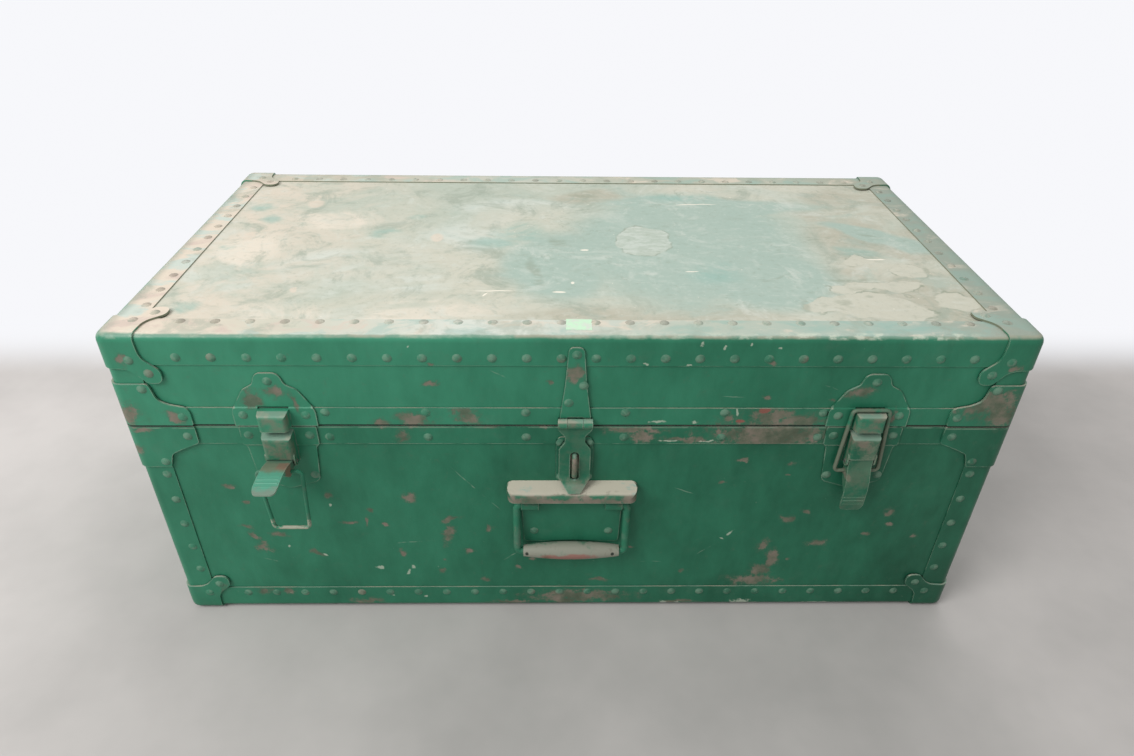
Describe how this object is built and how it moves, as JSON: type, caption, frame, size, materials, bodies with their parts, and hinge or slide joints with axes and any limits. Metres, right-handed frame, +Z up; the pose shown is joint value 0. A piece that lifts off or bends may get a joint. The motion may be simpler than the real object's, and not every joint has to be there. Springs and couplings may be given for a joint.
{
  "type": "storage trunk",
  "caption": "Steel-bound storage trunk with a hinged lid, draw bolts, a hasp over a staple and swinging drop handles.",
  "frame": {"origin": "on the floor, under the middle of the whole object's reach", "axes": "+Z up, +X to the right as seen from the front, +Y to the back"},
  "size_m": [0.8202, 0.471, 0.3323],
  "materials": {
    "enamelled_steel": "satin",
    "enamelled_board": "satin",
    "plain_board": "matte",
    "pin_steel": "satin"
  },
  "bodies": {
    "base": {"bottom_board": "enamelled_board", "base_front_board": "enamelled_board", "base_back_board": "enamelled_board", "base_left_board": "enamelled_board", "base_right_board": "enamelled_board", "base_lip": "plain_board", "base_rim_front": "enamelled_steel", "base_rim_back": "enamelled_steel", "base_rim_ends": "enamelled_steel", "base_corner_angles": "enamelled_steel", "bottom_edge_front": "enamelled_steel", "bottom_edge_back": "enamelled_steel", "bottom_edge_ends": "enamelled_steel", "base_corner_caps": "enamelled_steel", "base_rim_brackets": "enamelled_steel", "base_nails": "enamelled_steel", "base_rivets": "enamelled_steel", "bolt_left_plate": "enamelled_steel", "bolt_right_plate": "enamelled_steel", "bolt_pins": "pin_steel", "hasp_staple": "enamelled_steel", "handle_front_plate": "enamelled_steel", "handle_left_plate": "enamelled_steel", "handle_right_plate": "enamelled_steel", "hinge_base_leaves": "enamelled_steel", "hinge_pins": "pin_steel"},
    "lid": {"lid_board": "enamelled_board", "lid_front_board": "enamelled_board", "lid_back_board": "enamelled_board", "lid_left_board": "enamelled_board", "lid_right_board": "enamelled_board", "lid_rim_front": "enamelled_steel", "lid_rim_back": "enamelled_steel", "lid_rim_ends": "enamelled_steel", "lid_edge_front": "enamelled_steel", "lid_edge_back": "enamelled_steel", "lid_edge_ends": "enamelled_steel", "lid_corner_angles": "enamelled_steel", "lid_corner_caps": "enamelled_steel", "lid_rim_brackets": "enamelled_steel", "lid_nails": "enamelled_steel", "lid_rivets": "enamelled_steel", "bolt_left_catch": "enamelled_steel", "bolt_right_catch": "enamelled_steel", "hasp_strap": "enamelled_steel", "hasp_pin": "pin_steel", "hinge_lid_leaves": "enamelled_steel"},
    "bolt_left_lever": {"bolt_left_lever": "enamelled_steel"},
    "bolt_left_bail": {"bolt_left_bail": "enamelled_steel"},
    "bolt_right_lever": {"bolt_right_lever": "enamelled_steel"},
    "bolt_right_bail": {"bolt_right_bail": "enamelled_steel"},
    "hasp_leaf": {"hasp_leaf": "enamelled_steel"},
    "handle_front": {"handle_front_bail": "enamelled_steel", "handle_front_grip": "enamelled_steel"},
    "handle_left": {"handle_left_bail": "enamelled_steel", "handle_left_grip": "enamelled_steel"},
    "handle_right": {"handle_right_bail": "enamelled_steel", "handle_right_grip": "enamelled_steel"}
  },
  "joints": [
    {"name": "lid_hinge", "type": "hinge", "parent": "base", "child": "lid", "pos_m": [0, 0.226, 0.238], "axis": [-1, 0, 0], "range_deg": [0, 100]},
    {"name": "bolt_left_throw", "type": "hinge", "parent": "base", "child": "bolt_left_lever", "pos_m": [-0.2603, -0.1815, 0.204], "axis": [-1, 0, 0], "range_deg": [-90, 0]},
    {"name": "bolt_left_swing", "type": "hinge", "parent": "bolt_left_lever", "child": "bolt_left_bail", "pos_m": [-0.2603, -0.1945, 0.202], "axis": [-1, 0, 0], "range_deg": [0, 270]},
    {"name": "bolt_right_throw", "type": "hinge", "parent": "base", "child": "bolt_right_lever", "pos_m": [0.2603, -0.1815, 0.204], "axis": [-1, 0, 0], "range_deg": [0, 90]},
    {"name": "bolt_right_swing", "type": "hinge", "parent": "bolt_right_lever", "child": "bolt_right_bail", "pos_m": [0.2603, -0.1795, 0.191], "axis": [-1, 0, 0], "range_deg": [-270, 0]},
    {"name": "hasp_swing", "type": "hinge", "parent": "lid", "child": "hasp_leaf", "pos_m": [0.0016, -0.1793, 0.2435], "axis": [-1, 0, 0], "range_deg": [0, 170]},
    {"name": "handle_front_swing", "type": "hinge", "parent": "base", "child": "handle_front", "pos_m": [0, -0.1776, 0.147], "axis": [-1, 0, 0], "range_deg": [0, 84]},
    {"name": "handle_left_swing", "type": "hinge", "parent": "base", "child": "handle_left", "pos_m": [-0.3956, 0.0235, 0.147], "axis": [0, 1, 0], "range_deg": [0, 84]},
    {"name": "handle_right_swing", "type": "hinge", "parent": "base", "child": "handle_right", "pos_m": [0.3956, 0.0235, 0.147], "axis": [0, -1, 0], "range_deg": [0, 84]}
  ],
  "couplings": [
    {"joint": "bolt_left_swing", "follows": "bolt_left_throw", "ratio": -3},
    {"joint": "bolt_right_swing", "follows": "bolt_right_throw", "ratio": -3}
  ]
}
